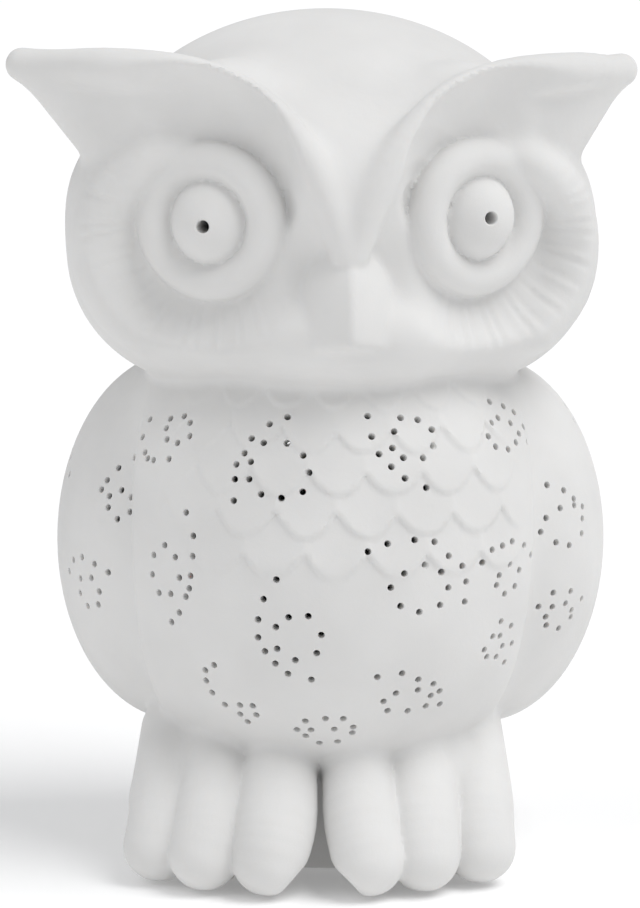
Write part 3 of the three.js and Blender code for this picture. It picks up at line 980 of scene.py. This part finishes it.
def rounded(outline, radius, steps=4):
    """An outline with its corners rounded, leaving points on the axis alone."""
    closed = outline[0][0] != 0
    points = [np.array(p, float) for p in outline]
    result = []
    count = len(points)
    for i, p in enumerate(points):
        if not closed and i in (0, count - 1):
            result.append(tuple(p))
            continue
        before, after = points[i - 1], points[(i + 1) % count]
        a, b = before - p, after - p
        reach = min(radius, np.linalg.norm(a) * 0.45, np.linalg.norm(b) * 0.45)
        a, b = a / np.linalg.norm(a) * reach, b / np.linalg.norm(b) * reach
        for t in np.linspace(0, 1, steps + 1):
            result.append(tuple(p + a * (1 - t) ** 2 + b * t**2))
    return result


def fine_rise(bottom, top, step):
    count = max(2, int(round((top - bottom) / step)) + 1)
    return np.linspace(bottom, top, count)


def thread_shape(depth, pitch, bottom, top, crest):
    """Sinks a helical thread into the radius crest between two heights, fading out at both ends."""

    def shape(radius, height, angle):
        if abs(radius - crest) > 1e-6:
            return radius
        wave = 0.5 - 0.5 * cos(tau * (height / pitch) - angle)
        run_out = pitch * 0.6
        ends = min(1, max(0, (height - bottom) / run_out), max(0, (top - height) / run_out))
        return radius - depth * wave * ends

    return shape


# ---------------------------------------------------------------- the lamp unit
GAP = 0.3
PLATE_TOP = WEB_BOTTOM - GAP
PLATE_BOTTOM = PLATE_TOP - 1.2
PLATE_RADIUS = (plate_high.x - plate_low.x) / MM / 2
NIPPLE_RADIUS = 5.0
HOLDER_RADIUS = 14.0
CAP_BOTTOM = PLATE_TOP + GAP
CAP_TOP = CAP_BOTTOM + 18
SKIRT_BOTTOM = CAP_TOP + GAP
SKIRT_TOP = SKIRT_BOTTOM + 32
INSERT_BOTTOM = CAP_BOTTOM + 11
BULB_BOTTOM = INSERT_BOTTOM + 14 + GAP + 2.4
BULB_RADIUS = 22.5
GLOBE_CENTRE = BULB_BOTTOM + 78 - BULB_RADIUS
INSULATOR_TOP = BULB_BOTTOM + 1.6 + GAP + 3
SCREW_RADIUS = 6.9
SCREW_INSIDE = SCREW_RADIUS - 1.4
SCREW_TOP = BULB_BOTTOM + 21
THREAD_PITCH = 2.822
CLIP_ANGLES = [radians(a) for a in (90, 210, 330)]
CLIP_THICKNESS = 0.6
RIVET_DISTANCE = 19.5


def finish_piece(piece, body, node, slot):
    piece.data.materials.append(MATERIALS[slot])
    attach(piece, body)
    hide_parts(node)


def make_plate():
    top, bottom, hole = PLATE_TOP, PLATE_BOTTOM, NIPPLE_RADIUS + GAP
    groove = bottom + 0.35
    outline = [
        (hole, bottom), (27.5, bottom), (28.3, groove), (30.7, groove), (31.5, bottom),
        (PLATE_RADIUS, bottom), (PLATE_RADIUS, top), (hole, top),
    ]
    piece = turned("steel_plate", rounded(outline, 0.35, 3), 120)
    finish_piece(piece, "lamp_unit", "mounting_plate", "zinc_steel")


def make_rivet(index, angle):
    """The stud that is welded to the plate and peened over the clip's foot."""
    head, shank = 2.6, 1.5
    low = PLATE_TOP + GAP
    high = low + CLIP_THICKNESS + GAP
    outline = [
        (0, low), (shank, low), (shank, high), (head, high),
        (head * 0.92, high + 0.35), (head * 0.6, high + 0.68), (0, high + 0.8),
    ]
    piece = turned(f"rivet_{index}", rounded(outline, 0.3, 3), 32)
    offset = Vector((RIVET_DISTANCE * cos(angle), RIVET_DISTANCE * sin(angle), 0)) * MM
    piece.data.transform(Matrix.Translation(offset))
    finish_piece(piece, "lamp_unit", f"clip_rivet_{index}", "zinc_steel")


def make_clip(index, angle):
    """A spring leaf: a foot on the plate, a leg that bows out to the knee, a lip that leans in."""
    foot = PLATE_TOP + GAP + CLIP_THICKNESS / 2
    spine = [
        (17.6, foot), (20.5, foot), (24.6, foot), (26.7, foot + 0.5), (27.4, foot + 2.2),
        (28.6, foot + 6.6), (29.6, foot + 10.6), (29.2, foot + 12.6), (27.6, foot + 14.8),
        (26.6, foot + 16.4),
    ]
    path = np.array(smooth_path(spine, 4))
    along = directions(path)
    normal = np.stack([-along[:, 1], along[:, 0]], -1)
    rows = []
    half_thickness, corner = 0.28, 0.12
    for i, (point, side_way) in enumerate(zip(path, normal)):
        part = i / (len(path) - 1)
        wide = 4.0 * min(1, 0.55 + 5 * part, 0.5 + 6 * (1 - part))
        flat, thick, edge = wide - corner, half_thickness, half_thickness - corner
        points = []
        for w, t in (
            (-wide, -edge), (-flat, -thick), (flat, -thick), (wide, -edge),
            (wide, edge), (flat, thick), (-flat, thick), (-wide, edge),
        ):
            r, z = point + side_way * t
            x = r * cos(angle) - w * sin(angle)
            y = r * sin(angle) + w * cos(angle)
            points.append((LAMP_AXIS.x + x * MM, LAMP_AXIS.y + y * MM, z * MM))
        rows.append(points)
    name = f"clip_leaf_{index}"
    piece = link(name, grid_mesh(name, rows, True), 35)
    finish_piece(piece, f"clip_{index}", f"spring_clip_{index}", "spring_steel")


def make_nipple():
    bottom, top = 3.2, INSERT_BOTTOM - 1.5
    bore, ends = 3.4, NIPPLE_RADIUS - 0.5
    wall = [(NIPPLE_RADIUS, z) for z in fine_rise(bottom + 0.4, top - 0.4, 0.12)]
    outline = [(bore, bottom), (ends, bottom), *wall, (ends, top), (bore, top)]
    thread = thread_shape(0.45, 1.0, bottom, top, NIPPLE_RADIUS)
    nipple = turned("nipple_tube", outline, 48, thread, 60)
    finish_piece(nipple, "lamp_unit", "threaded_nipple", "zinc_steel")


def make_nut_and_washer():

    nut_top = PLATE_BOTTOM - GAP - 1 - GAP
    nut_bottom = nut_top - 3
    inner = NIPPLE_RADIUS + GAP
    half_flats, bevel = 7.0, 0.4

    def hexagon(radius, height, angle):
        if radius <= inner + 0.6:
            return radius
        flat = half_flats / cos((angle + pi / 6) % (pi / 3) - pi / 6)
        chamfer = 7.25 + min(height - nut_bottom, nut_top - height) * 1.9
        return min(flat, chamfer)

    outline = [
        (inner + bevel, nut_bottom),
        *[(half_flats, z) for z in fine_rise(nut_bottom, nut_top, 0.15)],
        (inner + bevel, nut_top), (inner, nut_top - bevel), (inner, nut_bottom + bevel),
    ]
    nut = turned("hexagon_nut", outline, 96, hexagon, 25)
    finish_piece(nut, "lamp_unit", "nipple_nut", "zinc_steel")

    def teeth(radius, height, angle):
        return radius - (0.7 if radius > 8 and sin(angle * 16) > 0.2 else 0)

    low = nut_top + GAP
    outline = rounded([(inner, low), (8.5, low), (8.5, low + 1), (inner, low + 1)], 0.15, 2)
    washer = turned("toothed_washer", outline, 128, teeth, 30)
    finish_piece(washer, "lamp_unit", "lock_washer", "spring_steel")


def make_bush():
    outline = [(2.1, 1.9), (5.4, 1.9), (5.4, 2.9), (3.1, 2.9), (3.1, 8), (2.1, 8)]
    bush = turned("insulating_bush", rounded(outline, 0.4, 4), 48)
    finish_piece(bush, "lamp_unit", "cord_bushing", "phenolic")


def make_lampholder():
    outside, inside, hole = HOLDER_RADIUS, HOLDER_RADIUS - 1.8, NIPPLE_RADIUS + GAP
    ribs_bottom, ribs_top = CAP_BOTTOM + 6, CAP_TOP - 1.5

    def ribs(radius, height, angle):
        if radius < outside - 0.01:
            return radius
        ends = min(1, max(0, height - ribs_bottom), max(0, ribs_top - height))
        return radius - 0.55 * ends * max(0, sin(angle * 24))

    outline = [
        (hole, CAP_BOTTOM), (outside - 3, CAP_BOTTOM), (outside - 1.3, CAP_BOTTOM + 1.2),
        *[(outside, z) for z in fine_rise(CAP_BOTTOM + 4, CAP_TOP - 0.4, 0.8)],
        (outside - 0.4, CAP_TOP), (inside, CAP_TOP), (inside, CAP_BOTTOM + 5),
        (inside - 2, CAP_BOTTOM + 2.4), (hole, CAP_BOTTOM + 2.4),
    ]
    cap = turned("holder_cap", outline, 192, ribs, 40)
    finish_piece(cap, "lamp_unit", "lampholder_cap", "phenolic")

    groove, sunk, mouth = SKIRT_BOTTOM + 9, outside - 0.7, 9.2
    outline = [
        (inside, SKIRT_BOTTOM), (outside, SKIRT_BOTTOM), (outside, groove), (sunk, groove + 0.6),
        (sunk, groove + 1.8), (outside, groove + 2.4), (outside, SKIRT_TOP - 1.5),
        (outside - 1.5, SKIRT_TOP), (mouth, SKIRT_TOP), (mouth, SKIRT_TOP - 2),
        (inside, SKIRT_TOP - 5),
    ]
    skirt = turned("holder_skirt", rounded(outline, 0.5, 4), 96)
    finish_piece(skirt, "lamp_unit", "lampholder_skirt", "phenolic")


def make_bulb_base():
    bottom, top = BULB_BOTTOM, BULB_BOTTOM + 1.6
    crown = (1.2, bottom), (2.3, bottom + 0.25), (3, bottom + 0.9)
    outline = [(0, bottom), *crown, (3, top), (0, top)]
    tip = turned("tip_contact", rounded(outline, 0.3), 40)
    finish_piece(tip, "bulb_tip", "bulb_contact", "nickel")

    bottom, top = INSULATOR_TOP - 3, INSULATOR_TOP
    outline = [(0, bottom), (3.6, bottom), (4.6, top - 1.6), (6, top), (0, top)]
    insulator = turned("black_insulator", rounded(outline, 0.4), 56)
    finish_piece(insulator, "bulb", "bulb_insulator", "vitrite")

    bottom, top, radius = INSULATOR_TOP + GAP, SCREW_TOP, SCREW_RADIUS
    wall = [(radius, z) for z in fine_rise(bottom + 0.6, top - 0.2, 0.2)]
    ends = (radius - 0.8, bottom), (radius - 0.2, top)
    outline = [(SCREW_INSIDE, bottom), ends[0], *wall, ends[1], (SCREW_INSIDE, top)]
    thread = thread_shape(0.75, THREAD_PITCH, bottom + 0.4, top - 0.8, radius)
    finish_piece(turned("screw_cap", outline, 72, thread, 60), "bulb", "bulb_cap", "nickel")


def make_bulb_glass():
    neck, top = SCREW_INSIDE - GAP, GLOBE_CENTRE + BULB_RADIUS
    thick, pole = 0.8, 0.4
    globe = []
    for a in np.linspace(-0.72, pi / 2 - 0.04, 28):
        globe.append((BULB_RADIUS * cos(a), GLOBE_CENTRE + BULB_RADIUS * sin(a)))
    rise = (neck, SCREW_TOP + GAP), (neck + 1.8, SCREW_TOP + 3), (10.6, SCREW_TOP + 9)
    shoulder = smooth_path([*rise, globe[0]], 6)
    outside = [(neck, SCREW_TOP - 4), *shoulder, *globe[1:], (pole, top)]
    along = directions(np.array(outside))
    lining = [(max(pole, r - thick * t[1]), z + thick * t[0]) for (r, z), t in zip(outside, along)]
    lining[-1] = (pole, top - thick)
    glass = glass_envelope("globe_glass", outside, lining)
    finish_piece(glass, "bulb", "bulb_glass", "frosted_glass")


def glass_envelope(name, outside, lining):
    """The bulb's glass: an outer and an inner skin that meet at the neck, each closed on top."""
    sides = 96
    rings = [*reversed(lining), *outside]
    vertices = [lamp_point(*p, tau * k / sides) for p in rings for k in range(sides)]
    last = len(vertices) - sides
    faces = []
    for a in range(0, last, sides):
        b = a + sides
        for k in range(sides):
            n = (k + 1) % sides
            faces.append((a + k, a + n, b + n, b + k))
    faces += [tuple(reversed(range(sides))), tuple(range(last, last + sides))]
    mesh = bpy.data.meshes.new(name)
    mesh.from_pydata(vertices, [], faces)
    mesh.update()
    return link(name, mesh, 50)


def wire(name, path, radius, sides=10):
    """A round wire along a path in the lamp's millimetres."""
    path = np.array(path, float)
    rows = []
    for point, t in zip(path, directions(path)):
        u = unit(np.cross((0.02, 1, 0.03), t))
        v = np.cross(t, u)
        points = []
        for angle in [tau * k / sides for k in range(sides)]:
            place = point + (u * cos(angle) + v * sin(angle)) * radius
            points.append(tuple(Vector(place) * MM + LAMP_AXIS))
        rows.append(points)
    return link(name, grid_mesh(name, rows, True), 50)


def make_bulb_inside():
    foot, top, radius = SCREW_TOP - 4, GLOBE_CENTRE - 14, SCREW_INSIDE - GAP - 0.8 - GAP
    outline = [
        (0, foot), (radius, foot), (radius, SCREW_TOP + 2), (2.6, SCREW_TOP + 7),
        (2.0, SCREW_TOP + 12), (1.9, top - 2), (1.4, top), (0, top),
    ]
    stem = turned("stem_press", rounded(outline, 1.2, 5), 40)
    finish_piece(stem, "bulb", "bulb_stem", "clear_glass")
    for index, side in enumerate(SIDES, 1):
        lead = [(3.4, top - 6), (3.9, top), (5.6, GLOBE_CENTRE - 5), (6.6, GLOBE_CENTRE + 1)]
        path = smooth_path([(side * x, 0, z) for x, z in lead], 5)
        support = wire(f"support_{index}", path, 0.3)
        finish_piece(support, "bulb", f"lead_wire_{index}", "nickel")
    turns, steps, coil_radius, half_length = 22, 12, 0.42, 6.0
    coil = []
    for i in range(turns * steps + 1):
        along = -half_length + 2 * half_length * (i / (turns * steps))
        angle = tau * i / steps
        height = GLOBE_CENTRE + 2.1 + coil_radius * sin(angle)
        coil.append((along, coil_radius * cos(angle), height))
    finish_piece(wire("coiled_filament", coil, 0.09, 6), "bulb", "filament", "tungsten")


def make_pads():
    for index in range(1, 5):
        low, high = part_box(f"felt_pad_{index}")
        middle = (low + high) / 2
        radius = (high.x - low.x) / 2 / MM
        height = high.z / MM
        outline = rounded([(0, 0), (radius, 0), (radius, height), (0, height)], 0.25, 4)

        def ragged(r, z, angle):
            frayed = 0.06 * sin(angle * 17 + index) + 0.05 * sin(angle * 41)
            return r + (frayed if r > radius * 0.9 else 0) - 0.1

        piece = turned(f"pad_{index}", outline, 72, ragged, 60)
        piece.data.transform(Matrix.Translation(Vector((middle.x, middle.y, 0)) - LAMP_AXIS))
        finish_piece(piece, "owl", f"felt_pad_{index}", "felt")


LIVE_PARTS = [
    "contact_carrier", "terminal_screw_1", "terminal_screw_2", "screw_shell", "centre_contact"
]


def dress_live_parts():
    """The live parts inside the lampholder keep their CAD shape."""
    record_slots = {row["node"]: row["material_slot"] for row in frame["record"]["subparts"]}
    for name in LIVE_PARTS:
        for slot in frame["nodes"][name].material_slots:
            slot.material = MATERIALS[record_slots[name]]


make_camera()
make_studio()
make_owl()
make_plate()
for index, angle in enumerate(CLIP_ANGLES, 1):
    make_clip(index, angle)
    make_rivet(index, angle)
make_nipple()
make_nut_and_washer()
make_bush()
make_lampholder()
make_bulb_base()
make_bulb_glass()
make_bulb_inside()
make_pads()
dress_live_parts()
